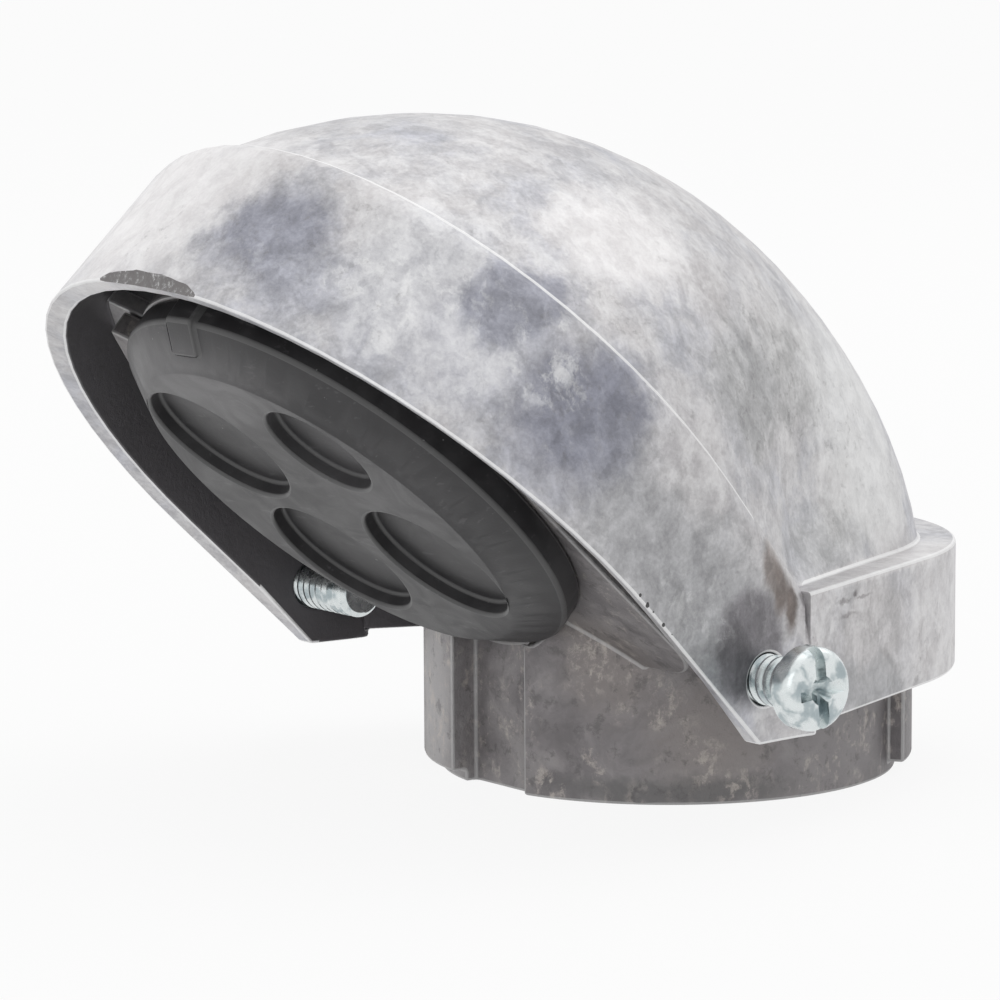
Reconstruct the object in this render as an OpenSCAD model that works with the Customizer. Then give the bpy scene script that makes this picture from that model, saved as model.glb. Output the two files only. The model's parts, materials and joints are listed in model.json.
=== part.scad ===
// Service entrance weatherhead, 1-1/4 in conduit size, with a removable hood.
// Z is up, the origin is the centre of the hub's bottom face, and the mouth faces -Y.

/* [Conduit hub] */
// Diameter of the hub's plain wall
hub_d = 46.4; // [44.5:0.2:50]
// Height of the hub up to the hood's ledge
hub_h = 20.9; // [19.5:0.1:23]
// Bore of the conduit thread at its crests
thread_bore_d = 39; // [36:0.1:40]
// Depth of the conduit thread
thread_depth = 15.5; // [13:0.5:16.5]
// Bore of the integral bushing above the thread
throat_d = 34.6; // [30:0.2:36]
// Height of the bushing's collar
throat_h = 2.6; // [1.5:0.1:3.5]
// Diameter over the wrench ribs
rib_d = 49.8; // [48.6:0.2:52.4]
// Height at which the wrench ribs start
rib_z = 1.2; // [0.5:0.1:3]
// Angle that one wrench rib spans
rib_angle = 50; // [30:1:55]
// Angle from the X axis at which a wrench rib starts
rib_start = 33; // [25:1:38]
// Width of the flat down the middle of the hub's front and back
flat_w = 9; // [6:0.2:10]
// Distance between the two flats
flat_span = 43.2; // [42.6:0.2:44.2]
// Diameter of the seat that carries the hood's ledge
seat_d = 51; // [50:0.2:53.2]
// Height of the seat's edge
seat_h = 3.2; // [2:0.1:4]

/* [Insulator seat] */
// Tilt of the insulator from level
tilt = 47.5; // [46:0.5:48.5]
// Distance of the insulator's face centre in front of the hub's axis
face_y = 42.3; // [41.9:0.1:43.2]
// Height of the insulator's face centre
face_z = 29.7; // [29.2:0.1:30.4]
// Thickness of the plate that the insulator seats on
plate_t = 2.6; // [2:0.1:3]
// Diameter of the plate's round top
plate_d = 50.6; // [49:0.2:52]
// Reach of the plate's two ears from the insulator's centre
ear_reach = 29.5; // [28:0.5:30]
// Width of each ear
ear_w = 6.6; // [5:0.2:7]
// Width of the plate at its square foot
plate_w = 51; // [50:0.5:52]
// Reach of the plate's foot below the insulator's centre
plate_foot = 30; // [28:0.5:31]
// Wall thickness of the cheeks between the plate and the hub
cheek_t = 2.4; // [2:0.1:3]
// Distance between the cheeks' outer faces
cheek_span = 46; // [45:0.5:47]

/* [Insulator] */
// Diameter of the flat face
face_d = 41.6; // [40:0.2:43]
// Diameter of the edge that seats on the plate
disc_d = 50.2; // [49:0.2:51]
// Depth from the face to the seat
disc_h = 5.6; // [5:0.1:6.2]
// Height of the square edge behind the sloped shoulder
edge_h = 2.7; // [2.2:0.1:3.2]
// Thickness behind the face
face_t = 3.4; // [3:0.1:3.6]
// Depth of the round knockouts
knockout_depth = 1.7; // [1:0.1:2.2]
// Diameter of the spigot that drops into the plate
spigot_d = 43.6; // [42:0.2:44.4]
// Wall thickness of the spigot
spigot_t = 1.8; // [1.5:0.1:2.2]
// Width of the locating lug on the edge
lug_w = 4.2; // [3:0.2:6]
// Reach of the locating lug past the edge
lug_out = 0.5; // [0.3:0.1:1]
// Diameter of the three large knockouts
large_knockout_d = 16; // [14:0.2:17]
// Diameter of the small knockout
small_knockout_d = 11.6; // [9:0.2:13]

/* [Hood] */
// Wall thickness of the casting
wall = 2.2; // [1.8:0.1:2.6]
// Tilt of the mouth from upright
mouth_tilt = 46; // [45:0.5:47]
// Distance of the mouth's lower tips in front of the hub's axis
tip_y = 19.7; // [19.2:0.1:20.4]
// Height of the mouth's lower tips
tip_z = 9.5; // [9:0.1:10]
// Width of the mouth across its arch
mouth_w = 79; // [77:0.5:81]
// Length of the mouth from its tips to the top of its arch
mouth_l = 62.5; // [61.5:0.5:64]
// Straight length of the mouth below its arch
mouth_straight = 23.3; // [21:0.1:25]
// Angle at which the mouth's straight sides spread
mouth_spread = 5.6; // [3:0.1:7]
// Angle at which the mouth's rim slopes inwards
rim_angle = 15; // [5:1:20]
// Draft of the brow band behind the mouth
brow_draft = 2.5; // [1:0.5:4]
// Angle of the crease between the brow band and the dome
crease_angle = 132; // [129:1:133]
// Width of the sloped shoulder at the band's sides
shoulder_w = 4.2; // [3:0.1:4.4]
// Width of the shoulder over the top of the band
crown_shoulder_w = 3; // [2:0.1:3.6]
// Height of the dome's crease above the pivot of its sections
crease_h = 55.9; // [55:0.1:56.6]
// Width of the dome at the crease
crease_w = 72.8; // [71:0.2:74]

/* [Collar] */
// Diameter of the collar round the hub
collar_d = 58.4; // [57.4:0.2:60]
// Angle at which the collar's sides spread
collar_spread = 22.5; // [21.5:0.5:23.5]
// Height of the collar's lower edge
collar_z = 10.4; // [9.9:0.1:12]
// Height of the ledge on top of the collar
ledge_z = 23.2; // [22.9:0.1:24]
// Width of the ledge round the dome's foot
ledge_w = 3.8; // [3:0.1:4.4]
// Distance of the collar's front corners in front of the hub's axis
corner_y = 12.4; // [12:0.1:13]
// Half the distance between the hood's rear corners
corner_x = 37.2; // [36.9:0.1:37.8]

/* [Screws] */
// Shank diameter, No. 10
screw_d = 4.83; // [4.6:0.01:5]
// Length under the head, 7/16 in
screw_l = 11.1; // [9.5:0.1:11.3]
// Head diameter
head_d = 7.9; // [7.4:0.1:8.6]
// Head height
head_h = 2.6; // [2.2:0.1:3]
// Gap left under the right screw's head, half backed out
right_head_gap = 5.2; // [0.5:0.1:5.5]
// Gap left under the left screw's head, driven home
left_head_gap = 0.6; // [0.5:0.1:5.5]
// Height of the screws
screw_z = 15.7; // [15.2:0.1:16.2]
// Distance of the screws in front of the hub's axis
screw_y = 19; // [18.6:0.1:19.4]
// Clearance of the screw in the hood's hole, on the diameter
hood_hole_gap = 0.16; // [0.12:0.01:0.3]

/* [Hidden] */
past = 1;              // cuts run this far past the faces that they open
far = 60;              // reach of blocks and bores that run clear of everything
run = 0.3;             // gap between the plate and the hood's shelves
seat_gap = 0.05;       // gap between the insulator and its plate
spigot_gap = 0.3;      // gap round the insulator's spigot
pocket_gap = 0.3;      // gap round the insulator's edge
opening_reach = 4;     // how far the plate's opening is cleared behind it
sink = 0.3;            // how far the dome's foot reaches into the ledge

// Insulator: [angle, distance to the face's edge, diameter] of each knockout
knockouts = [
    [137, 0.3, large_knockout_d],
    [231, 0.6, large_knockout_d],
    [326.5, 0.3, large_knockout_d],
    [48, 1.0, small_knockout_d]
];
shoulder_h = disc_h - edge_h;
spigot_h = plate_t;
lug_root = 2.6;        // how far the lug reaches in over the shoulder
lug_rise = 0.45;       // how far the lug stands proud of the shoulder

// Hub
flat_from = -3.9;      // the front flat starts this far left of the middle
plate_corner = 5;      // radius of the corners at the plate's foot
cheek_reach = 6;       // how far up the slope a cheek starts
cheek_back = 3.5;      // how far behind the hub's axis a cheek ends
cheek_sink = 0.8;      // how far a cheek's end lies inside the seat

// Hood: steps along each outline and rows from the mouth to the dome's foot
side_steps = 4;
arc_steps = 32;
corner_steps = 3;
dome_steps = 20;
arch_steps = 2 * side_steps + arc_steps;
ring_steps = arch_steps + 2 * corner_steps;
crease_row = 4;
row_count = crease_row + dome_steps + 1;

// The dome's sections turn about a line through the hood's rear corners
pivot_y = -corner_y;
pivot_z = ledge_z - sink;
inner_pivot_z = ledge_z - wall + sink;
foot_r = collar_d / 2 - ledge_w;
foot_spread = collar_spread + 2.5;
foot_h = foot_r + corner_y;
crease_spread = -5;
crease_spring = 19;
dome_rise = 2.3;       // how late the dome rises towards the crease
dome_slack = 5.2;      // how much lower the dome runs midway to the crease
dome_waist = 2;        // how much narrower on each side it runs there
spring_dip = 9;        // how much lower its spring line runs there
mouth_side_v = 9;
mouth_rise = mouth_l - mouth_straight;
pivot_v = (pivot_z - tip_z) * cos(mouth_tilt) - (pivot_y + tip_y) * sin(mouth_tilt);
pivot_depth = (pivot_y + tip_y) * cos(mouth_tilt) + (pivot_z - tip_z) * sin(mouth_tilt);

collar_lap = 0.8;      // how far the collar reaches in front of the rear corners
collar_front = pivot_y - collar_lap;
ledge_lip = 0.4;       // how far the ledge reaches inside the dome's foot
shelf_angle = 29.5;    // angle of the ears and their shelves up from the middle
shelf_w = 6;
shelf_t = 2;
shelf_lap = 2.5;       // how far a shelf reaches behind its ear
shelf_in = 5.7;        // from the mouth's width to a shelf's root
tip_bevel = 0.6;
head_steps = 5;

function mix(a, b, t) = a + (b - a) * t;

// An arch is [half width, rise, lean of its sides, height of its spring line].
// Its straight sides run tangent into an elliptic arc.
function arc_start(arch) = atan(arch[1] / arch[0] * tan(arch[2]));
function side_top(arch) = arch[3] + arch[1] * sin(arc_start(arch));
function side_x(arch, v) =
    arch[0] * cos(arc_start(arch)) + (side_top(arch) - v) * tan(arch[2]);
function arc_point(arch, i) =
    let (turn = mix(arc_start(arch), 180 - arc_start(arch), i / arc_steps))
    [arch[0] * cos(turn), arch[3] + arch[1] * sin(turn)];
// Points of an arch from height from_v on one side, over the top and down
function arch_point(arch, i, from_v = 0) =
    i > arch_steps / 2
        ? let (p = arch_point(arch, arch_steps - i, from_v)) [-p[0], p[1]]
    : i >= side_steps
        ? arc_point(arch, i - side_steps)
    : let (v = mix(from_v, side_top(arch), i / side_steps)) [side_x(arch, v), v];

// Brow band: the mouth's arch, drawn back square to the mouth
function brow_arch(depth, inset) = [
    mouth_w / 2 - depth * tan(brow_draft) - inset,
    mouth_rise - depth * tan(brow_draft) - inset,
    -mouth_spread,
    mouth_straight
];
function brow_place(x, v, depth) = [
    x,
    -tip_y - v * sin(mouth_tilt) + depth * cos(mouth_tilt),
    tip_z + v * cos(mouth_tilt) + depth * sin(mouth_tilt)
];
function crease_depth(v) =
    pivot_depth + (v - pivot_v) * tan(90 + mouth_tilt - crease_angle);
// The shoulder is widest at the sides and narrows over the crown
function shoulder(i) =
    mix(shoulder_w, crown_shoulder_w, pow(sin(180 * i / arch_steps), 2));

// A point of the band at a height and a distance in front of the rear corner
function brow_side(y, z, inset) =
    let (v = (z - tip_z) * cos(mouth_tilt) - (y + tip_y) * sin(mouth_tilt),
         depth = (y + tip_y) * cos(mouth_tilt) + (z - tip_z) * sin(mouth_tilt))
    [side_x(brow_arch(depth, inset), v), y, z];

// Rows 0 to crease_row of the skin; before is how far a row lies before the crease
function brow_row_point(j, before, inset) =
    j > ring_steps / 2
        ? let (p = brow_row_point(ring_steps - j, before, inset)) [-p[0], p[1], p[2]]
    : j < corner_steps
        ? let (top = brow_row_point(corner_steps, before, inset), t = j / corner_steps)
          brow_side(mix(pivot_y - before, top[1], t), mix(tip_z, top[2], t), inset)
    : let (i = j - corner_steps,
           guess = arch_point(brow_arch(pivot_depth, inset), i, pivot_v),
           depth = crease_depth(guess[1]) - before,
           p = arch_point(brow_arch(depth, inset), i, pivot_v))
      brow_place(p[0], p[1], depth);
function mouth_row_point(j, inset) =
    let (depth = inset * tan(rim_angle) * min(1, j / corner_steps))
    j > ring_steps / 2
        ? let (p = mouth_row_point(ring_steps - j, inset)) [-p[0], p[1], p[2]]
    : j < corner_steps
        ? let (v = mouth_side_v * j / corner_steps)
          brow_place(side_x(brow_arch(depth, inset), v), v, depth)
    : let (p = arch_point(brow_arch(depth, inset), j - corner_steps, mouth_side_v))
      brow_place(p[0], p[1], depth);

// Dome: arches in planes that turn from the crease down to the ledge
function dome_arch(angle, inset, drop) =
    let (t = angle / crease_angle,
         midway = sin(180 * t),
         spring = mix(corner_y, crease_spring, t) - spring_dip * midway,
         height = mix(foot_h, crease_h, pow(t, dome_rise)) - dome_slack * midway)
    [mix(foot_r, crease_w / 2, t) - dome_waist * midway - inset,
     height - spring - inset,
     mix(foot_spread, crease_spread, t),
     spring + drop * sin(angle)];
function dome_point(j, angle, inset, drop) =
    let (arch = dome_arch(angle, inset, drop),
         i = j - corner_steps,
         p = arch_point(arch, i),
         foot = side_x(dome_arch(0, inset, drop), 0) - side_x(arch, 0),
         near = max(0, 1 - p[1] / side_top(arch)),
         x = p[0] + (i < arch_steps / 2 ? 1 : -1) * foot * near * near)
    [x, pivot_y + p[1] * cos(angle), pivot_z - drop + p[1] * sin(angle)];
// The crease row ends in the upright corners below the pivot
function crease_row_point(j, inset, drop) =
    j < corner_steps
        ? [corner_x - inset, pivot_y, mix(tip_z, pivot_z - drop, j / corner_steps)]
    : j > ring_steps - corner_steps
        ? let (p = crease_row_point(ring_steps - j, inset, drop)) [-p[0], p[1], p[2]]
    : dome_point(j, crease_angle, inset, drop);

hood_side_x = brow_side(-screw_y, screw_z, 0)[0];

// The shoulder rolls from the band into the crease as a quadratic curve
function roll(a, b, c, t) = a * (1 - t) * (1 - t) + b * 2 * t * (1 - t) + c * t * t;
function skin_point(row, j, inset, drop) =
    let (before = shoulder(min(max(j - corner_steps, 0), arch_steps)) + inset)
    row == 0 ? mouth_row_point(j, inset)
  : row == crease_row ? crease_row_point(j, inset, drop)
  : row < crease_row
        ? roll(brow_row_point(j, before, inset),
               brow_row_point(j, 0, inset),
               crease_row_point(j, inset, drop),
               (row - 1) / (crease_row - 1))
  : dome_point(j, crease_angle * (row_count - 1 - row) / dome_steps, inset, drop);

// Below the crease each row has its corners; beyond it they close on the pivot
function on_corner(j) = j < corner_steps || j >= ring_steps - corner_steps;
function skin_index(skin, row, j) =
    let (pinned = row > crease_row && (j <= corner_steps || j >= ring_steps - corner_steps))
    (skin * row_count + (pinned ? crease_row : row)) * (ring_steps + 1) + j;
function outer(row, j) = skin_index(0, row, j);
function inner(row, j) = skin_index(1, row, j);
function split(a, b, c, d) = [
    for (face = [[a, b, c], [a, c, d]])
        if (face[0] != face[1] && face[1] != face[2] && face[0] != face[2]) face
];
function flat_list(lists) = [for (list = lists) each list];

module shell_skin() {
    last = row_count - 1;
    points = [
        for (skin = [0, 1], row = [0:last], j = [0:ring_steps])
            row > crease_row && (on_corner(j) || j == ring_steps)
                ? skin_point(crease_row, j, skin * wall, skin * (pivot_z - inner_pivot_z))
                : skin_point(row, j, skin * wall, skin * (pivot_z - inner_pivot_z))
    ];
    faces = flat_list([
        for (row = [0:last - 1], j = [0:ring_steps - 1])
            if (row < crease_row || !on_corner(j)) each [
                split(outer(row, j), outer(row, j + 1), outer(row + 1, j + 1), outer(row + 1, j)),
                split(inner(row, j), inner(row + 1, j), inner(row + 1, j + 1), inner(row, j + 1))
            ],
        for (j = [0:ring_steps - 1])
            split(outer(0, j + 1), outer(0, j), inner(0, j), inner(0, j + 1)),
        for (j = [0:ring_steps - 1])
            let (row = on_corner(j) ? crease_row : last)
            split(outer(row, j), outer(row, j + 1), inner(row, j + 1), inner(row, j)),
        for (row = [0:crease_row - 1]) each [
            split(outer(row, 0), outer(row + 1, 0), inner(row + 1, 0), inner(row, 0)),
            split(outer(row + 1, ring_steps), outer(row, ring_steps),
                  inner(row, ring_steps), inner(row + 1, ring_steps))
        ]
    ]);
    polyhedron(points = points, faces = faces, convexity = 6);
}

module collar_plan(inset) {
    r = collar_d / 2 - inset;
    back = [r * cos(collar_spread), r * sin(collar_spread)];
    front = [back[0] + (back[1] - collar_front) * tan(collar_spread), collar_front];
    intersection() {
        union() {
            circle(r = r, $fn = 96);
            polygon([back, front, [-front[0], front[1]], [-back[0], back[1]]]);
        }
        translate([-far, collar_front])
            square(2 * far);
    }
}

// Ring round the hub with the ledge that rests on the hub's seat
module collar() {
    difference() {
        translate([0, 0, collar_z])
            linear_extrude(ledge_z - collar_z) collar_plan(0);
        translate([0, 0, collar_z - past])
            linear_extrude(ledge_z - wall - collar_z + past) collar_plan(wall);
        translate([0, 0, collar_z])
            linear_extrude(far) collar_plan(ledge_w + wall + ledge_lip);
    }
}

// The insulator's frame: X to the side, Y up its slope, Z out of its face
module on_slope() {
    translate([0, -face_y, face_z])
        rotate([90 + tilt, 0, 0])
            children();
}
// Y and Z of a point on the slope
function slope_point(v, depth) = [
    -face_y - v * sin(tilt) + depth * cos(tilt),
    face_z + v * cos(tilt) + depth * sin(tilt)
];

module both_sides() {
    children();
    mirror([1, 0, 0]) children();
}
// Something round that lies along X at the screws' place
module at_screw(x) {
    translate([x, -screw_y, screw_z])
        rotate([0, 90, 0])
            children();
}

// Shelves inside the band that the plate's ears lie against
module shelves() {
    inner_end = ear_reach - shelf_lap;
    on_slope()
        for (angle = [shelf_angle, 180 - shelf_angle])
            rotate([0, 0, angle])
                translate([inner_end, -shelf_w / 2, -disc_h - plate_t - run - shelf_t])
                    cube([mouth_w / 2 - shelf_in - inner_end, shelf_w, shelf_t]);
}

module hood() {
    color("#b9bbc0")
    difference() {
        union() {
            shell_skin();
            collar();
            shelves();
        }
        // One drill through both walls
        at_screw(-far)
            cylinder(d = screw_d + hood_hole_gap, h = 2 * far, $fn = 48);
    }
}

// Wedge from the axis between two angles, out past the hub
module wedge(from, sweep) {
    polygon([
        [0, 0],
        for (step = [0:4]) far * [cos(from + sweep * step / 4), sin(from + sweep * step / 4)]
    ]);
}
// The hub is the same seen from the front and from the back
module hub_cut_plan() {
    for (turn = [0, 180])
        rotate(turn)
            translate([flat_from, -far - flat_span / 2])
                square([flat_w, far]);
}
module hub_plan() {
    difference() {
        circle(d = hub_d, $fn = 96);
        hub_cut_plan();
    }
}
module rib_plan() {
    difference() {
        intersection() {
            circle(d = rib_d, $fn = 96);
            for (turn = [0, 180]) wedge(rib_start + turn, rib_angle);
        }
        hub_cut_plan();
    }
}

module hub_body() {
    linear_extrude(hub_h) hub_plan();
    translate([0, 0, rib_z])
        linear_extrude(hub_h - rib_z) rib_plan();
    // Seat under the ledge, behind the insulator's plate
    intersection() {
        translate([0, 0, hub_h - seat_h])
            cylinder(d = seat_d, h = seat_h, $fn = 96);
        translate([-far, pivot_y, 0])
            cube(2 * far);
    }
}

module plate_plan() {
    circle(d = plate_d, $fn = 96);
    for (angle = [shelf_angle, 180 - shelf_angle])
        rotate(angle)
            translate([0, -ear_w / 2])
                square([ear_reach, ear_w]);
    translate([-plate_w / 2, -plate_foot + plate_corner])
        square([plate_w, plate_foot - plate_corner]);
    translate([-plate_w / 2 + plate_corner, -plate_foot])
        square([plate_w - 2 * plate_corner, plate_foot]);
    for (side = [-1, 1])
        translate([side * (plate_w / 2 - plate_corner), -plate_foot + plate_corner])
            circle(r = plate_corner, $fn = 48);
}

// Web between the plate and the hub's rim
module cheek() {
    middle = disc_h + plate_t / 2;
    outline = [
        slope_point(cheek_reach, middle),
        slope_point(-plate_foot + plate_t, middle),
        [cheek_back, hub_h - seat_h + cheek_sink],
        [cheek_back, hub_h - cheek_sink]
    ];
    translate([cheek_span / 2 - cheek_t, 0, 0])
        rotate([90, 0, 90])
            linear_extrude(cheek_t) polygon(outline);
}

module base() {
    color("#7d7672")
    difference() {
        union() {
            hub_body();
            on_slope()
                translate([0, 0, -disc_h - seat_gap - plate_t])
                    linear_extrude(plate_t) plate_plan();
            both_sides() cheek();
        }
        // Conduit thread, bushing and the wire way above it
        translate([0, 0, -past])
            cylinder(d = thread_bore_d, h = thread_depth + past, $fn = 96);
        cylinder(d = throat_d, h = far, $fn = 96);
        translate([0, 0, thread_depth + throat_h])
            cylinder(d = thread_bore_d, h = far, $fn = 96);
        on_slope() {
            // Opening for the spigot, and the pocket that clears the edge
            translate([0, 0, -disc_h - plate_t - opening_reach])
                cylinder(d = spigot_d + 2 * spigot_gap, h = far, $fn = 96);
            translate([0, 0, -disc_h - seat_gap])
                cylinder(d = disc_d + 2 * pocket_gap, h = edge_h + seat_gap + pocket_gap, $fn = 96);
            translate([0, 0, -shoulder_h])
                cylinder(
                    d1 = disc_d + 2 * pocket_gap,
                    d2 = face_d + 2 * pocket_gap,
                    h = shoulder_h + pocket_gap,
                    $fn = 96
                );
        }
    }
}

// Half section of the insulator: face, sloped shoulder, square edge, spigot
module insulator_profile() {
    back = -disc_h - spigot_h;
    polygon([
        [0, -face_t],
        [0, 0],
        [face_d / 2, 0],
        [disc_d / 2, -shoulder_h],
        [disc_d / 2, -disc_h],
        [spigot_d / 2, -disc_h],
        [spigot_d / 2, back],
        [spigot_d / 2 - spigot_t, back],
        [spigot_d / 2 - spigot_t, -face_t]
    ]);
}
// Block on the shoulder's top edge that keeps the insulator from turning
module lug() {
    inner = disc_d / 2 - lug_root;
    outer = disc_d / 2 + lug_out;
    slope = 2 * shoulder_h / (disc_d - face_d);
    translate([-lug_w / 2, 0, 0])
        rotate([90, 0, 90])
            linear_extrude(lug_w)
                polygon([
                    [inner, -disc_h],
                    [inner, lug_rise - (inner - face_d / 2) * slope],
                    [outer, lug_rise - (outer - face_d / 2) * slope],
                    [outer, -disc_h]
                ]);
}

module insulator() {
    color("#2b2b2d")
    on_slope()
        difference() {
            union() {
                rotate_extrude($fn = 96) insulator_profile();
                lug();
            }
            for (hole = knockouts)
                rotate([0, 0, hole[0]])
                    translate([(face_d - hole[2]) / 2 - hole[1], 0, -knockout_depth])
                        cylinder(d = hole[2], h = knockout_depth + past, $fn = 64);
        }
}

// Machine screw along X with its head's underside at x = 0 and its tip behind
module screw() {
    dome_h = head_h * 0.3;
    slot_w = head_d * 0.16;
    difference() {
        rotate([0, 90, 0])
            rotate_extrude($fn = 48)
                polygon([
                    [0, -screw_l],
                    [screw_d / 2 - tip_bevel, -screw_l],
                    [screw_d / 2, -screw_l + tip_bevel],
                    [screw_d / 2, 0],
                    [head_d / 2, 0],
                    [head_d / 2, head_h - dome_h],
                    for (step = [1:head_steps])
                        let (turn = 90 * step / head_steps)
                        [head_d / 2 * cos(turn), head_h - dome_h * (1 - sin(turn))]
                ]);
        translate([head_h * 0.45, -slot_w / 2, -head_d])
            cube([head_h, slot_w, 2 * head_d]);
    }
}
module screw_right() {
    color("#d4d8d6")
    translate([hood_side_x + right_head_gap, -screw_y, screw_z])
        screw();
}
module screw_left() {
    color("#d4d8d6")
    mirror([1, 0, 0])
        translate([hood_side_x + left_head_gap, -screw_y, screw_z])
            screw();
}

base();
hood();
insulator();
screw_left();
screw_right();
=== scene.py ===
"""Service entrance weatherhead: cast, moulded and plated finishes with their fine detail.

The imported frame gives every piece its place. The castings and the insulator are dressed copies of
their solids with rounded edges, the hub gets its tapped thread, the hood its casting marks, and the
two screws are cut with a real thread and a combination recess.
"""

import json
import logging
import math
from dataclasses import dataclass
from enum import Enum, IntEnum
from typing import Callable, Sequence

import bpy
from mathutils import Matrix, Vector

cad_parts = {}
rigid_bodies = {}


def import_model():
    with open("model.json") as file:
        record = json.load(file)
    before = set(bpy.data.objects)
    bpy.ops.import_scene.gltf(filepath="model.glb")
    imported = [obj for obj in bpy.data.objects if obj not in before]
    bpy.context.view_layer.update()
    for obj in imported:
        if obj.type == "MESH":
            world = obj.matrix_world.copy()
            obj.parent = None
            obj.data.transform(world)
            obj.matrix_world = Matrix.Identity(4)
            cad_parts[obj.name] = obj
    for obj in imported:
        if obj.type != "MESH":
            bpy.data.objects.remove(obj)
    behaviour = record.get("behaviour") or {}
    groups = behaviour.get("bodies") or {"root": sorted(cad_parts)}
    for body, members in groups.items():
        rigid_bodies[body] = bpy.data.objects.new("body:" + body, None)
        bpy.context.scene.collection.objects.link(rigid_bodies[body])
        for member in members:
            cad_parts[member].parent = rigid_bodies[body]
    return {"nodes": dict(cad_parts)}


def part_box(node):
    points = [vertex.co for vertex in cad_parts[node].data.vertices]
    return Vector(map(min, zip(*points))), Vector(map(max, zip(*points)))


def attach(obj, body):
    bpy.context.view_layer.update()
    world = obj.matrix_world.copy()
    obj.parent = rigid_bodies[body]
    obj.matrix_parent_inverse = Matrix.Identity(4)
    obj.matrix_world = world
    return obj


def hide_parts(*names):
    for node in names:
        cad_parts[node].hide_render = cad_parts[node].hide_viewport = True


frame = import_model()

log = logging.getLogger("weatherhead")

MM = 0.001
WELD = 0.002 * MM

Colour = tuple[float, float, float, float]
Point = tuple[float, float, float]
Span = tuple[float, float]
Piece = bpy.types.Object
Paint = bpy.types.Material
Socket = bpy.types.NodeSocket


class Body(Enum):
    """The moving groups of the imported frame."""

    CAP = "cap"
    SCREW_LEFT = "screw_left"
    SCREW_RIGHT = "screw_right"


class Slot(Enum):
    """The record's material slots."""

    BASE = "base_casting"
    HOOD = "hood_casting"
    PLASTIC = "black_plastic"
    ZINC = "zinc_screw"


class Zone(IntEnum):
    """Kinds of surface on one piece, kept as material slots while it is made."""

    SKIN = 0
    EDGE = 1
    BROKEN = 2
    PIT = 3


def grey(value: float, tint: Point = (0.0, 0.0, 0.0)) -> Colour:
    """A grey with a small tint added to its channels."""
    return (value + tint[0], value + tint[1], value + tint[2], 1.0)


# ---------------------------------------------------------------- bench work


def only(piece: Piece) -> None:
    """Selects one piece and nothing else.

    Args:
        piece: The piece to select.
    """
    bpy.ops.object.select_all(action="DESELECT")
    piece.select_set(True)
    bpy.context.view_layer.objects.active = piece


def take_new(name: str) -> Piece:
    """Names the piece that an operator has just added.

    Args:
        name: The name for the piece and its mesh.

    Returns:
        The new piece.
    """
    piece = bpy.context.view_layer.objects.active
    piece.name = name
    piece.data.name = name
    return piece


def settle(piece: Piece) -> None:
    """Puts a piece's place, turn and size into its mesh."""
    only(piece)
    bpy.ops.object.transform_apply(location=True, rotation=True, scale=True)


def apply_modifiers(piece: Piece) -> None:
    """Applies every modifier of a piece in order.

    Args:
        piece: The piece to finish.
    """
    only(piece)
    for modifier in list(piece.modifiers):
        bpy.ops.object.modifier_apply(modifier=modifier.name)


def in_edit(piece: Piece, work: Callable[[], object], everything: bool = True) -> None:
    """Runs mesh operators on a piece in edit mode.

    Args:
        piece: The piece to work on.
        work: What to do there.
        everything: Whether all of the mesh is selected first.
    """
    only(piece)
    bpy.ops.object.mode_set(mode="EDIT")
    if everything:
        bpy.ops.mesh.select_all(action="SELECT")
    work()
    bpy.ops.object.mode_set(mode="OBJECT")


def turn_outward() -> None:
    """Turns a whole closed mesh right side out, in edit mode."""
    bpy.ops.mesh.select_all(action="SELECT")
    bpy.ops.mesh.normals_make_consistent(inside=False)


def roughen(piece: Piece, grain: float, height: float) -> None:
    """Gives a cutter an uneven surface.

    Args:
        piece: The cutter.
        grain: Size of the unevenness in metres.
        height: How high it is, in metres.
    """
    clouds = bpy.data.textures.new(f"{piece.name}_grain", "CLOUDS")
    clouds.noise_scale = grain
    push = piece.modifiers.new("grain", "DISPLACE")
    push.texture = clouds
    push.strength = height
    apply_modifiers(piece)


def coil(piece: Piece, pitch: float, turns: int, steps: int, weld: bool) -> None:
    """Winds an outline up round Z.

    Args:
        piece: The outline, beside the axis.
        pitch: The rise of each turn in metres.
        turns: How many turns.
        steps: Steps in a turn.
        weld: Whether neighbouring turns are joined.
    """
    screw = piece.modifiers.new("coil", "SCREW")
    screw.axis = "Z"
    screw.angle = math.tau
    screw.screw_offset = pitch
    screw.iterations = turns
    screw.steps = steps
    screw.render_steps = steps
    screw.use_merge_vertices = weld
    screw.merge_threshold = 0.01 * MM
    apply_modifiers(piece)


def open_zones(piece: Piece, zone: Zone = Zone.SKIN) -> None:
    """Gives a piece one empty slot for each zone.

    Args:
        piece: The piece to set up.
        zone: The zone that all its faces start in.
    """
    piece.data.materials.clear()
    for _ in Zone:
        piece.data.materials.append(None)
    for face in piece.data.polygons:
        face.material_index = zone


def note(piece: Piece, name: str, values: Sequence[float]) -> None:
    """Stores a number on each face of a piece."""
    piece.data.attributes.new(name, "FLOAT", "FACE").data.foreach_set("value", values)


def close_zones(piece: Piece) -> None:
    """Stores each zone of a piece as a number on its faces and empties the slots.

    Args:
        piece: The piece to close.
    """
    faces = piece.data.polygons
    kinds = [face.material_index for face in faces]
    for zone in (Zone.EDGE, Zone.BROKEN, Zone.PIT):
        note(piece, zone.name.lower(), [float(kind == zone) for kind in kinds])
    faces.foreach_set("material_index", [0] * len(faces))


def join(parts: Sequence[Piece], name: str) -> Piece:
    """Makes one piece of several.

    Args:
        parts: The pieces to join.
        name: The name of the whole.

    Returns:
        The joined piece.
    """
    bpy.ops.object.select_all(action="DESELECT")
    for part in parts:
        part.select_set(True)
    bpy.context.view_layer.objects.active = parts[0]
    bpy.ops.object.join()
    return take_new(name)


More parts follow.
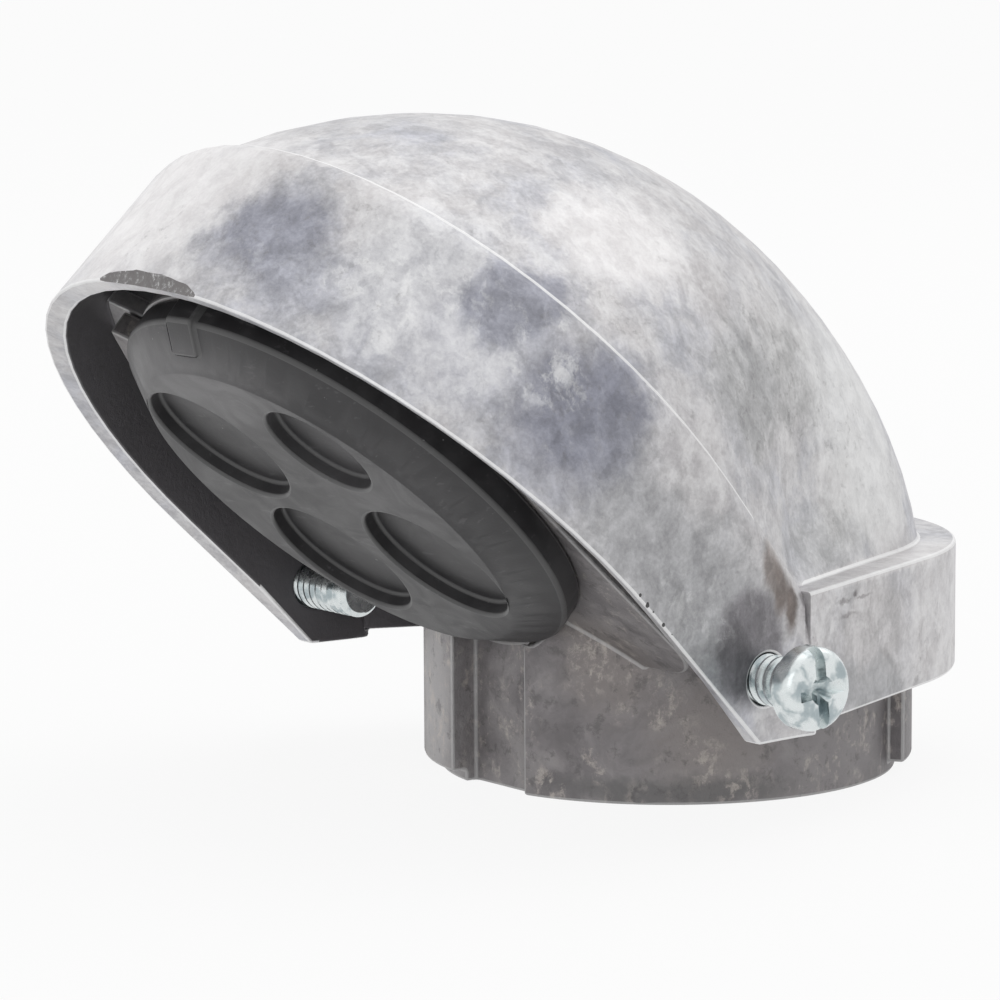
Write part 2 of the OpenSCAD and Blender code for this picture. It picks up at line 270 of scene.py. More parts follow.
def solid_copy(node: str, name: str) -> Piece:
    """A welded copy of one of the frame's solids, ready to be worked on.

    Args:
        node: The frame's node.
        name: The copy's name.

    Returns:
        The new piece, with its place in its mesh and no material.
    """
    only(frame["nodes"][node])
    bpy.ops.object.duplicate()
    bpy.ops.object.parent_clear(type="CLEAR_KEEP_TRANSFORM")
    piece = take_new(name)
    for key in list(piece.keys()):
        del piece[key]
    bpy.ops.mesh.customdata_custom_splitnormals_clear()

    def weld() -> None:
        """Joins the loose triangles and makes faces of them again."""
        bpy.ops.mesh.remove_doubles(threshold=WELD)
        bpy.ops.mesh.dissolve_limited(angle_limit=math.radians(0.6), delimit={"NORMAL"})

    in_edit(piece, weld)
    open_zones(piece)
    return piece


def round_edges(
    piece: Piece,
    width: float,
    segments: int,
    angle: float,
    hidden: Callable[[Vector], bool] = lambda middle: False,
) -> None:
    """Rounds every edge that turns by more than an angle.

    Args:
        piece: The piece to round.
        width: Width of the rounding in metres.
        segments: Steps across it.
        angle: The least turn of an edge, in degrees.
        hidden: Which edges stay sharp, given their middles.
    """
    mesh = piece.data
    sides: dict[int, list[Vector]] = {}
    for face in mesh.polygons:
        for corner in face.loop_indices:
            sides.setdefault(mesh.loops[corner].edge_index, []).append(face.normal)
    weights = [0.0] * len(mesh.edges)
    for edge in mesh.edges:
        normals = sides.get(edge.index, [])
        middle = (mesh.vertices[edge.vertices[0]].co + mesh.vertices[edge.vertices[1]].co) / 2
        if len(normals) == 2 and normals[0].angle(normals[1], 0.0) > math.radians(angle):
            weights[edge.index] = float(not hidden(middle))
    share = mesh.attributes.new("bevel_weight_edge", "FLOAT", "EDGE")
    share.data.foreach_set("value", weights)
    bevel = piece.modifiers.new("round", "BEVEL")
    bevel.width = width
    bevel.segments = segments
    bevel.limit_method = "WEIGHT"
    bevel.use_clamp_overlap = False
    bevel.miter_outer = "MITER_ARC"
    bevel.material = Zone.EDGE
    apply_modifiers(piece)


def part_zones(piece: Piece) -> None:
    """Keeps the shading of broken metal and pits apart from the skin round them.

    Args:
        piece: The piece, with its zones open.
    """
    mesh = piece.data
    kinds: dict[int, set[int]] = {}
    for face in mesh.polygons:
        for corner in face.loop_indices:
            kinds.setdefault(mesh.loops[corner].edge_index, set()).add(face.material_index)
    for index, met in kinds.items():
        if len(met) > 1 and met & {Zone.BROKEN, Zone.PIT}:
            mesh.edges[index].use_edge_sharp = True


def smooth(piece: Piece, angle: float) -> None:
    """Shades a piece smooth, with weighted normals, and closes its zones.

    Args:
        piece: The piece to shade.
        angle: The least turn of an edge that stays crisp, in degrees.
    """
    only(piece)
    bpy.ops.object.shade_smooth_by_angle(angle=math.radians(angle))
    part_zones(piece)
    weighted = piece.modifiers.new("flats", "WEIGHTED_NORMAL")
    weighted.keep_sharp = True
    weighted.weight = 80
    apply_modifiers(piece)
    close_zones(piece)


def combine(piece: Piece, other: Piece, operation: str, crossing: bool = False) -> None:
    """Joins or cuts a piece with another closed mesh, which is used up.

    Args:
        piece: The piece to change.
        other: The closed mesh to cut or join with.
        operation: UNION or DIFFERENCE.
        crossing: Whether parts of the other mesh cross each other.
    """
    modifier = piece.modifiers.new("other", "BOOLEAN")
    modifier.object = other
    modifier.operation = operation
    modifier.solver = "EXACT"
    modifier.use_self = crossing
    apply_modifiers(piece)
    bpy.data.objects.remove(other, do_unlink=True)


def mount(piece: Piece, body: Body, slot: Slot, finish: Paint, *nodes: str) -> None:
    """Dresses a finished piece and sets it on its body in place of its solids.

    Args:
        piece: The finished piece.
        body: The body that it moves with.
        slot: The record's slot for its finish; it is not used.
        finish: Its material.
        nodes: The frame's nodes that it stands for.
    """
    piece.data.materials.clear()
    piece.data.materials.append(finish)
    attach(piece, body.value)
    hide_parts(*nodes)
    log.info("%s: %d faces on %s", piece.name, len(piece.data.polygons), body.value)


# ---------------------------------------------------------------- finishes


class Sketch:
    """A node tree drawn one node at a time, on Object coordinates in metres."""

    def __init__(self, owner: bpy.types.Material | bpy.types.World) -> None:
        """Empties the tree of a material or a world.

        Args:
            owner: What the tree belongs to.
        """
        owner.use_nodes = True
        self.owner = owner
        self.tree = owner.node_tree
        self.tree.nodes.clear()
        self.place = self.node("ShaderNodeTexCoord").outputs["Object"]

    def node(
        self, kind: str, feeds: dict[str | int, object] | None = None, **settings: object
    ) -> bpy.types.Node:
        """Adds a node, sets its properties and feeds its inputs.

        Args:
            kind: The node's kind.
            feeds: A socket or a value for each input, by its name or number.
            settings: The node's properties.

        Returns:
            The new node.
        """
        new = self.tree.nodes.new(kind)
        for key, value in settings.items():
            setattr(new, key, value)
        for key, value in (feeds or {}).items():
            if isinstance(value, Socket):
                self.tree.links.new(value, new.inputs[key])
            else:
                new.inputs[key].default_value = value
        return new

    def math(self, operation: str, a: object, b: object) -> Socket:
        """One sum of two numbers, kept between 0 and 1."""
        new = self.node("ShaderNodeMath", {0: a, 1: b}, operation=operation, use_clamp=True)
        return new.outputs[0]

    def vector(self, operation: str, a: Socket, b: object, out: str = "Vector") -> Socket:
        """One sum of two vectors."""
        return self.node("ShaderNodeVectorMath", {0: a, 1: b}, operation=operation).outputs[out]

    def warp(self, size: float, reach: float, detail: float = 4.0) -> Socket:
        """Object coordinates pushed about by a noise.

        Args:
            size: Size of the noise's features in metres.
            reach: How far it pushes, in metres.
            detail: Octaves of the noise.

        Returns:
            The warped coordinates.
        """
        feeds = {"Vector": self.place, "Scale": 1.0 / size, "Detail": detail, "Roughness": 0.68}
        noise = self.node("ShaderNodeTexNoise", feeds)
        centred = self.vector("SUBTRACT", noise.outputs["Color"], (0.5, 0.5, 0.5))
        push = self.vector("MULTIPLY", centred, (2.0 * reach, 2.0 * reach, 2.0 * reach))
        return self.vector("ADD", self.place, push)

    def noise(
        self,
        size: float,
        detail: float = 4.0,
        roughness: float = 0.5,
        distortion: float = 0.0,
        stretch: Point = (1.0, 1.0, 1.0),
        shift: float = 0.0,
        at: Socket | None = None,
    ) -> Socket:
        """A noise pattern.

        Args:
            size: Size of its features in metres.
            detail: Octaves.
            roughness: Share that each finer octave keeps.
            distortion: How much the pattern is pulled about.
            stretch: Scale along each axis.
            shift: Moves the pattern to another place.
            at: Coordinates to use in place of the piece's own.

        Returns:
            The pattern from 0 to 1.
        """
        feeds = {"Vector": at or self.place, "Scale": stretch, "Location": (shift, -shift, shift)}
        mapping = self.node("ShaderNodeMapping", feeds)
        feeds = {"Vector": mapping.outputs[0], "Scale": 1.0 / size, "Detail": detail}
        feeds |= {"Roughness": roughness, "Distortion": distortion}
        return self.node("ShaderNodeTexNoise", feeds).outputs["Fac"]

    def between(self, value: Socket, low: float, high: float, out: Span = (0.0, 1.0)) -> Socket:
        """Maps a value smoothly from one span to another.

        Args:
            value: The value.
            low: Start of its span.
            high: End of its span.
            out: Start and end of the new span.

        Returns:
            The mapped value.
        """
        feeds = {"Value": value, "From Min": low, "From Max": high}
        feeds |= {"To Min": out[0], "To Max": out[1]}
        new = self.node("ShaderNodeMapRange", feeds, interpolation_type="SMOOTHSTEP")
        return new.outputs["Result"]

    def blot(self, blot: "Blot", at: Socket) -> Socket:
        """The mask of a soft egg-shaped area, its strength inside and 0 outside.

        Args:
            blot: The area, in millimetres.
            at: The coordinates that it lies in.

        Returns:
            Its mask.
        """
        offset = self.vector("SUBTRACT", at, tuple(c * MM for c in blot.centre))
        scaled = self.vector("DIVIDE", offset, tuple(c * MM for c in blot.reach))
        length = self.node("ShaderNodeVectorMath", {0: scaled}, operation="LENGTH")
        span = (1.0 - blot.soft, 1.0 + blot.soft)
        return self.between(length.outputs["Value"], *span, (blot.strength, 0.0))

    def paint(self, colour: Socket, blots: "Sequence[Blot]", at: Socket) -> Socket:
        """Lays listed areas over a colour, one after the other.

        Args:
            colour: The colour under them.
            blots: The areas.
            at: The coordinates that they lie in.

        Returns:
            The painted colour.
        """
        for blot in blots:
            colour = self.mix(self.blot(blot, at), colour, blot.colour)
        return colour

    def gather(self, place: Socket, blots: "Sequence[Blot]", at: Socket) -> Socket:
        """Widens a mask by listed areas.

        Args:
            place: The mask.
            blots: The areas.
            at: The coordinates that they lie in.

        Returns:
            The wider mask.
        """
        for blot in blots:
            place = self.math("MAXIMUM", place, self.blot(blot, at))
        return place

    def seam(self, through: Point, square: Point, width: float, above: float) -> Socket:
        """The mask of a thin line where a plane meets the piece.

        Args:
            through: A point of the plane in metres.
            square: The plane's normal.
            width: The line's width in metres.
            above: The height over which it fades in.

        Returns:
            Its mask.
        """
        offset = self.vector("SUBTRACT", self.place, through)
        height = self.vector("DOT_PRODUCT", offset, square, "Value")
        away = self.node("ShaderNodeMath", {0: height}, operation="ABSOLUTE").outputs[0]
        rise = self.node("ShaderNodeSeparateXYZ", {0: self.place}).outputs["Z"]
        shown = self.between(rise, above, above + 8.0 * MM)
        return self.math("MULTIPLY", self.between(away, 0.0, width, (1.0, 0.0)), shown)

    def ramp(self, value: Socket, stops: Sequence[tuple[float, Colour]]) -> Socket:
        """Colours along a value.

        Args:
            value: The value.
            stops: The place and colour of each stop.

        Returns:
            The colour.
        """
        new = self.node("ShaderNodeValToRGB", {"Fac": value})
        new.color_ramp.interpolation = "B_SPLINE"
        elements = new.color_ramp.elements
        while len(elements) < len(stops):
            elements.new(0.5)
        for element, (place, colour) in zip(elements, stops):
            element.position = place
            element.color = colour
        return new.outputs["Color"]

    def mix(self, share: object, under: object, over: object, blend: str = "MIX") -> Socket:
        """Lays one colour over another by a share."""
        feeds = {"Factor": share, 6: under, 7: over}
        return self.node("ShaderNodeMix", feeds, data_type="RGBA", blend_type=blend).outputs[2]

    def veil(self, mask: Socket, share: float, under: Socket, over: Colour) -> Socket:
        """Lays a colour over another where a mask shows, at a share of the mask."""
        return self.mix(self.math("MULTIPLY", mask, share), under, over)

    def mottle(self, colour: Socket, pattern: Socket, share: float, dark: Point) -> Socket:
        """Lightens and darkens a colour with a pattern.

        Args:
            colour: The colour.
            pattern: The pattern from 0 to 1.
            share: How strongly it shows.
            dark: Where the pattern is darkest and lightest, and how dark it gets.

        Returns:
            The mottled colour.
        """
        stops = [(dark[0], grey(dark[2])), (dark[1], grey(0.90))]
        return self.mix(share, colour, self.ramp(pattern, stops), "OVERLAY")

    def attribute(self, name: str) -> Socket:
        """A number stored on the mesh."""
        return self.node("ShaderNodeAttribute", attribute_name=name).outputs["Fac"]

    def bump(self, height: Socket, distance: float, under: Socket | None = None) -> Socket:
        """A relief of a height pattern.

        Args:
            height: The pattern from 0 to 1.
            distance: How high it stands, in metres.
            under: Another relief that it lies on.

        Returns:
            The relief.
        """
        feeds: dict[str | int, object] = {"Distance": distance, "Height": height}
        if under is not None:
            feeds["Normal"] = under
        return self.node("ShaderNodeBump", feeds).outputs["Normal"]

    def surface(self, **inputs: object) -> Paint:
        """Ends the material in one surface shader.

        Args:
            inputs: The shader's inputs, with underscores for spaces.

        Returns:
            The finished material.
        """
        feeds = {key.replace("_", " "): value for key, value in inputs.items()}
        shader = self.node("ShaderNodeBsdfPrincipled", feeds)
        self.node("ShaderNodeOutputMaterial", {"Surface": shader.outputs["BSDF"]})
        return self.owner

    def seen(self) -> Socket:
        """Tells what is seen from what only lights the scene.

        Returns:
            1 for rays from the camera, a reflection or a clear body, and 0 for the others.
        """
        path = self.node("ShaderNodeLightPath").outputs
        beyond = self.math("MAXIMUM", path["Is Glossy Ray"], path["Is Transmission Ray"])
        return self.math("MAXIMUM", path["Is Camera Ray"], beyond)


def sketch(name: str) -> Sketch:
    """Starts an empty material."""
    return Sketch(bpy.data.materials.new(name))


@dataclass(frozen=True)
class Blot:
    """An area of another colour: its middle and three radii in millimetres."""

    centre: Point
    reach: Point
    colour: Colour
    strength: float = 1.0
    soft: float = 0.5


COOL: Point = (-0.006, 0.0, 0.045)
WARM: Point = (0.014, 0.0, 0.004)
RUST: Point = (0.040, 0.012, 0.0)


@dataclass(frozen=True)
class BrightCasting:
    """The hood's skin: bright die-cast aluminium with cool and pale patches, partly painted
    reflection, shade and highlight, with painted shade inside and painted highlights on its edges
    and crease.
    """

    cool: Colour = grey(0.42, COOL)
    plain: Colour = grey(0.50, (0.006, 0.0, 0.010))
    pale: Colour = grey(0.60, WARM)
    crust: Colour = grey(0.80)
    mark: Colour = grey(0.20, (0.006, 0.0, 0.0))
    # Painted highlight for the rounded edges and the crease
    edge: Colour = grey(0.86)
    broken: Colour = grey(0.16, (0.01, 0.0, 0.0))
    glint: Colour = grey(0.90)
    pit: Colour = grey(0.09)
    # Painted shade for the hood's inner skin
    inside: Colour = grey(0.125, (0.006, 0.0, 0.008))
    # Where the painted highlight along the crease lies
    crease_at: Point = (0.0, -12.4 * MM, 22.9 * MM)
    crease_square: Point = (0.0, 0.743, 0.669)
    crease_width: float = 0.35 * MM
    crease_foot: float = 30.0 * MM
    metal: Span = (0.80, 0.30)
    dullness: Span = (0.36, 0.48)
    # Blots over the patches: partly the casting's own tone and partly painted light
    areas: tuple[Blot, ...] = (
        # Brow band, from its left end to the near screw: its cool patches are partly painted
        # reflection, and its lower side is darker with painted shade
        Blot((-6.0, -57.0, 60.0), (12.0, 12.0, 12.0), grey(0.74, WARM), 0.9),
        Blot((12.0, -57.0, 58.5), (6.5, 6.0, 6.0), grey(0.28, COOL), 0.95),
        Blot((17.5, -57.0, 53.0), (5.0, 5.0, 5.0), grey(0.34, COOL), 0.8),
        Blot((25.0, -50.0, 53.5), (7.0, 8.0, 7.0), grey(0.56, (0.0, 0.0, 0.02)), 0.8),
        Blot((31.0, -47.0, 48.5), (5.0, 7.0, 6.0), grey(0.58, (0.0, 0.0, 0.03)), 0.8),
        Blot((37.0, -39.5, 41.5), (7.0, 8.5, 7.5), grey(0.235, COOL), 0.95),
        Blot((39.5, -33.0, 31.0), (6.0, 9.0, 9.0), grey(0.37, (0.0, 0.0, 0.012)), 0.9),
        Blot((39.5, -27.0, 23.0), (6.0, 7.0, 7.0), grey(0.35, (0.0, 0.0, 0.010)), 0.9),
        # Shoulder and crease
        Blot((31.5, -42.0, 53.0), (3.5, 7.0, 5.0), grey(0.26, COOL), 0.85, 0.4),
        Blot((37.0, -28.0, 38.5), (4.0, 6.0, 6.0), grey(0.58, WARM), 0.7),
        # Dome: its top and back are lighter with painted highlight
        Blot((26.0, -26.0, 56.5), (7.0, 9.0, 6.0), grey(0.68, WARM), 0.95),
        Blot((28.5, -17.5, 51.0), (5.0, 4.5, 3.6), grey(0.50, WARM), 0.8),
        Blot((31.0, -15.0, 42.0), (7.0, 7.0, 6.0), grey(0.36, (0.0, 0.0, 0.006)), 0.85),
        Blot((28.0, -4.0, 44.0), (7.0, 6.0, 6.0), grey(0.42), 0.6),
        Blot((22.0, 6.0, 36.0), (8.0, 9.0, 14.0), grey(0.72), 0.8),
        Blot((31.0, -3.0, 26.5), (8.0, 8.0, 3.6), grey(0.47), 0.7),
        # Collar and its ledge: lighter towards the back, darker at the foot
        Blot((33.0, -1.0, 17.5), (9.0, 9.0, 5.5), grey(0.46, WARM), 0.8),
        Blot((25.0, 14.0, 17.5), (8.0, 9.0, 8.0), grey(0.60, WARM), 0.8),
        Blot((31.0, -3.0, 12.0), (9.0, 9.0, 2.6), grey(0.36, (0.0, 0.0, 0.010)), 0.8),
    )
    # Stains and scratches, with a painted shadow and a painted highlight among them
    marks_and_painted_light: tuple[Blot, ...] = (
        # Painted shadow round the near screw
        Blot((38.3, -21.3, 19.0), (4.0, 4.4, 5.6), grey(0.17, (0.008, 0.0, 0.012)), 0.9, 0.22),
        # Stain that runs down to the collar's corner
        Blot((37.7, -18.6, 26.4), (3.0, 1.2, 2.2), grey(0.19, RUST), 0.9, 0.45),
        Blot((37.5, -17.3, 24.2), (3.0, 1.1, 2.6), grey(0.15, RUST), 0.95, 0.45),
        Blot((37.3, -15.8, 22.2), (3.0, 0.9, 2.4), grey(0.13, RUST), 0.95, 0.45),
        # Painted highlight along the ledge round the dome's foot
        Blot((26.0, 3.0, 23.1), (15.0, 16.0, 0.5), grey(0.62, WARM), 0.9, 0.4),
        # Scratches on the collar
        Blot((34.3, -6.4, 21.4), (2.0, 1.3, 0.22), grey(0.22, WARM), 0.8, 0.6),
        Blot((34.0, -5.6, 19.9), (2.0, 1.6, 0.20), grey(0.26, WARM), 0.8, 0.6),
        Blot((32.8, -2.6, 21.3), (2.0, 1.4, 0.16), grey(0.24, WARM), 0.8, 0.6),
        Blot((33.6, -4.3, 21.8), (2.0, 0.35, 0.30), grey(0.18, WARM), 0.9, 0.5),
    )
    crusted: tuple[Blot, ...] = (
        Blot((25.0, -50.0, 54.0), (8.0, 8.0, 6.0), grey(1.0)),
        Blot((34.5, -42.0, 47.0), (4.0, 5.0, 5.0), grey(1.0)),
        Blot((-4.0, -57.0, 58.0), (7.0, 7.0, 7.0), grey(1.0), 0.6),
    )
    flecked: tuple[Blot, ...] = (
        Blot((30.0, -12.0, 42.0), (10.0, 10.0, 8.0), grey(1.0)),
        Blot((12.0, -57.0, 58.0), (7.0, 6.0, 6.0), grey(1.0), 0.7),
        Blot((37.0, -38.0, 42.0), (7.0, 8.0, 8.0), grey(1.0), 0.6),
        Blot((24.0, 3.0, 38.0), (6.0, 8.0, 8.0), grey(1.0), 0.6),
    )

    def build(self) -> Paint:
        """Draws the finish.

        Returns:
            The hood's material.
        """
        s = sketch("bright_casting")
        drift = s.warp(7.0 * MM, 5.5 * MM, 9.0)
        curl = s.warp(1.4 * MM, 0.6 * MM, 6.0)
        patches = s.noise(11.0 * MM, 6.0, 0.6, 0.3, at=drift)
        colour = s.ramp(patches, [(0.32, self.cool), (0.48, self.plain), (0.64, self.pale)])
        colour = s.paint(colour, self.areas, drift)
        colour = s.paint(colour, self.marks_and_painted_light, curl)
        pattern = s.noise(2.0 * MM, 9.0, 0.72, 0.4, stretch=(1.0, 1.0, 0.6), at=curl)
        cover = s.noise(9.0 * MM, 3.0, 0.5, shift=0.3, at=drift)
        place = s.between(cover, 0.46, 0.66, (0.0, 0.5))
        place = s.gather(place, self.crusted, drift)
        crust = s.math("MULTIPLY", s.between(pattern, 0.48, 0.64), place)
        colour = s.veil(crust, 0.50, colour, self.crust)
        fleck_pattern = s.noise(1.2 * MM, 8.0, 0.72, 0.3, at=curl, shift=0.7)
        place = s.between(s.noise(8.0 * MM, 2.0, 0.5, shift=0.9), 0.50, 0.66, (0.0, 0.6))
        place = s.gather(place, self.flecked, drift)
        fleck = s.math("MULTIPLY", s.between(fleck_pattern, 0.53, 0.66), place)
        colour = s.veil(fleck, 0.55, colour, self.mark)
        streaks = s.noise(2.6 * MM, 5.0, 0.66, 0.5, stretch=(1.0, 1.0, 0.85), at=curl, shift=1.7)
        colour = s.mottle(colour, streaks, 0.36, (0.36, 0.64, 0.10))
        grain = s.noise(0.45 * MM, 5.0, 0.65)
        colour = s.mottle(colour, grain, 0.24, (0.30, 0.70, 0.20))
        # Painted highlight along the crease between band and dome
        crease = s.seam(self.crease_at, self.crease_square, self.crease_width, self.crease_foot)
        colour = s.veil(crease, 0.6, colour, self.edge)
        # Painted highlight on the faces of the rounded edges
        colour = s.veil(s.attribute("edge"), 0.7, colour, self.edge)
        # Painted shade over the inner skin, which is also made less metallic
        inner = s.attribute("inside")
        colour = s.mix(inner, colour, self.inside)
        shards = s.noise(0.7 * MM, 6.0, 0.7, shift=2.1)
        torn = s.ramp(shards, [(0.50, self.broken), (0.60, grey(0.30)), (0.68, self.glint)])
        colour = s.mix(s.attribute("broken"), colour, torn)
        colour = s.mix(s.attribute("pit"), colour, self.pit)
        rough = s.between(patches, 0.3, 0.7, self.dullness)
        relief = s.bump(s.noise(0.45 * MM, 6.0, 0.6), 0.030 * MM)
        relief = s.bump(pattern, 0.07 * MM, relief)
        return s.surface(
            Base_Color=colour,
            Metallic=s.between(inner, 0.0, 1.0, self.metal),
            Roughness=s.math("ADD", rough, s.math("MULTIPLY", crust, 0.12)),
            Normal=relief,
        )


@dataclass(frozen=True)
class DullCasting:
    """The base's skin: the same metal, darkened, with sandy speckles."""

    dark: Colour = grey(0.15, (0.010, 0.0, 0.004))
    plain: Colour = grey(0.22, (0.014, 0.0, 0.006))
    light: Colour = grey(0.33, (0.020, 0.004, 0.004))
    sand: Colour = grey(0.50, (0.07, 0.02, -0.02))
    soot: Colour = grey(0.09, (0.006, 0.0, 0.002))
    edge: Colour = grey(0.62)
    metal: float = 0.55
    dullness: Span = (0.44, 0.58)
    # Blots: a lighter upright streak on the hub's left, warmer patches and a darker band at its
    # foot
    areas: tuple[Blot, ...] = (
        Blot((-9.0, -24.0, 8.0), (5.0, 5.0, 14.0), grey(0.44, WARM), 0.85),
        Blot((14.0, -19.0, 15.0), (5.0, 5.0, 6.0), grey(0.26, RUST), 0.6),
        Blot((20.5, -11.0, 7.0), (6.0, 6.0, 5.0), grey(0.27, RUST), 0.6),
        Blot((25.0, 4.0, 6.0), (6.0, 7.0, 9.0), grey(0.27, WARM), 0.6),
        Blot((18.0, -15.0, 1.5), (12.0, 12.0, 1.4), grey(0.13), 0.6),
    )

    def build(self) -> Paint:
        """Draws the finish.

        Returns:
            The base's material.
        """
        s = sketch("dull_casting")
        drift = s.warp(5.0 * MM, 2.0 * MM)
        curl = s.warp(1.4 * MM, 0.6 * MM)
        patches = s.noise(7.0 * MM, 5.0, 0.6, 0.8, at=drift)
        colour = s.ramp(patches, [(0.32, self.dark), (0.50, self.plain), (0.68, self.light)])
        colour = s.paint(colour, self.areas, drift)
        speckle = s.noise(1.5 * MM, 9.0, 0.74, 0.2, stretch=(1.0, 1.0, 0.7), at=curl, shift=0.4)
        place = s.between(s.noise(5.0 * MM, 3.0, shift=0.8), 0.40, 0.60)
        sandy = s.math("MULTIPLY", s.between(speckle, 0.50, 0.64), place)
        colour = s.veil(sandy, 0.65, colour, self.sand)
        soot = s.between(s.noise(1.8 * MM, 8.0, 0.72, at=curl, shift=1.3), 0.53, 0.66)
        colour = s.veil(soot, 0.50, colour, self.soot)
        # Painted highlight on the faces of the rounded edges
        colour = s.veil(s.attribute("edge"), 0.45, colour, self.edge)
        relief = s.bump(s.noise(0.5 * MM, 6.0, 0.6), 0.05 * MM)
        relief = s.bump(speckle, 0.12 * MM, relief)
        return s.surface(
            Base_Color=colour,
            Metallic=self.metal,
            Roughness=s.between(patches, 0.3, 0.7, self.dullness),
            Normal=relief,
        )


@dataclass(frozen=True)
class BlackMoulding:
    """The insulator's black plastic: a dull skin with faint swirls, dust, rubbed scuffs, a painted
    sheen on its face and painted highlights on its rounded edges.
    """

    black: Colour = grey(0.021, (0.0010, 0.0, 0.0018))
    dusty: Colour = grey(0.042, (0.0012, 0.0, 0.0022))
    rubbed: Colour = grey(0.13, (0.003, 0.0, 0.004))
    dust: Colour = grey(0.30)
    edge: Colour = grey(0.14)
    dullness: Span = (0.40, 0.52)
    # Painted sheen on the face: lighter at its top, less so lower down
    areas: tuple[Blot, ...] = (
        Blot((-4.0, -56.0, 42.0), (13.0, 6.0, 5.0), grey(0.13, (0.003, 0.0, 0.004)), 0.9, 0.6),
        Blot((12.0, -47.0, 33.0), (9.0, 7.0, 6.0), grey(0.065, (0.002, 0.0, 0.003)), 0.8, 0.6),
    )

    def build(self) -> Paint:
        """Draws the finish.

        Returns:
            The insulator's material.
        """
        s = sketch("black_moulding")
        swirl = s.noise(6.0 * MM, 4.0, 0.55, 2.0)
        colour = s.ramp(swirl, [(0.35, self.black), (0.68, self.dusty)])
        colour = s.paint(colour, self.areas, s.place)
        speck = s.between(s.noise(0.55 * MM, 3.0, 0.6, shift=0.6), 0.70, 0.76)
        place = s.between(s.noise(5.0 * MM, 2.0, shift=1.7), 0.48, 0.60)
        colour = s.mix(s.math("MULTIPLY", speck, place), colour, self.dust)
        scuff = s.noise(0.9 * MM, 5.0, 0.6, stretch=(0.25, 1.0, 1.0), shift=0.2)
        colour = s.mix(s.between(scuff, 0.60, 0.72, (0.0, 0.35)), colour, self.rubbed)
        # Painted highlight on the faces of the rounded edges
        colour = s.veil(s.attribute("edge"), 0.5, colour, self.edge)
        relief = s.bump(s.noise(0.25 * MM, 4.0, 0.6), 0.016 * MM)
        return s.surface(
            Base_Color=colour,
            Roughness=s.between(swirl, 0.3, 0.7, self.dullness),
            Normal=relief,
            Specular_IOR_Level=0.5,
        )


@dataclass(frozen=True)
class ZincPlate:
    """The screws' bright zinc plate with a faint cold tint."""

    bright: Colour = (0.78, 0.82, 0.82, 1.0)
    cold: Colour = (0.34, 0.40, 0.42, 1.0)
    edge: Colour = (0.90, 0.93, 0.93, 1.0)
    metal: float = 0.95
    dullness: Span = (0.18, 0.30)

    def build(self) -> Paint:
        """Draws the finish.

        Returns:
            The screws' material.
        """
        s = sketch("zinc_plate")
        cloud = s.noise(1.6 * MM, 3.0, 0.5, 0.3)
        colour = s.ramp(cloud, [(0.38, self.cold), (0.52, self.bright)])
        # Painted highlight on the faces of the rounded edges
        colour = s.veil(s.attribute("edge"), 0.7, colour, self.edge)
        relief = s.bump(s.noise(0.2 * MM, 4.0, 0.5), 0.006 * MM)
        return s.surface(
            Base_Color=colour,
            Metallic=self.metal,
            Roughness=s.between(cloud, 0.3, 0.7, self.dullness),
            Normal=relief,
        )


# ---------------------------------------------------------------- pieces


@dataclass(frozen=True)
class Pit:
    """A small pit in a casting: its place and three radii in millimetres."""

    place: Point
    reach: Point


@dataclass
class GateMark:
    """The scar on top of the lip where the casting's gate was broken off."""

    major_radius: float = 40.3 * MM
    minor_radius: float = 1.9 * MM
    middle: float = math.radians(3.0)
    half_span: float = math.radians(15.5)
    fade: float = 1.3 * MM
    height: float = 23.3 * MM
    grain: float = 1.1 * MM
    roughness: float = 0.3 * MM

    def trim(self) -> None:
        """Keeps the stretch of a ring round the scar, in edit mode."""
        for side in (-1, 1):
            end = self.middle + side * self.half_span
            bpy.ops.mesh.select_all(action="SELECT")
            bpy.ops.mesh.bisect(
                plane_co=(0.0, 0.0, 0.0),
                plane_no=(side * math.cos(end), -side * math.sin(end), 0.0),
                use_fill=True,
                clear_outer=True,
            )
        turn_outward()

    def cutter(self, tilt: float, foot: Vector) -> Piece:
        """A rough curved bar that tapers out at both ends.

        Args:
            tilt: How far the mouth leans from upright.
            foot: The foot of the mouth's middle line.

        Returns:
            The closed bar to cut with.
        """
        bpy.ops.mesh.primitive_torus_add(
            major_segments=720,
            minor_segments=20,
            major_radius=self.major_radius,
            minor_radius=self.minor_radius,
        )
        bar = take_new("gate")
        in_edit(bar, self.trim)
        for vertex in bar.data.vertices:
            away = (math.atan2(vertex.co.x, vertex.co.y) - self.middle) / self.half_span
            share = 1.0 + self.fade * min(away * away, 1.0) / vertex.co.xy.length
            vertex.co.x *= share
            vertex.co.y *= share
        roughen(bar, self.grain, self.roughness)
        up = Vector((0.0, -math.sin(tilt), math.cos(tilt)))
        out = Vector((0.0, -math.cos(tilt), -math.sin(tilt)))
        turn = Matrix((Vector((1.0, 0.0, 0.0)), up, out)).transposed().to_4x4()
        bar.matrix_world = Matrix.Translation(foot + up * self.height) @ turn
        settle(bar)
        open_zones(bar, Zone.BROKEN)
        return bar


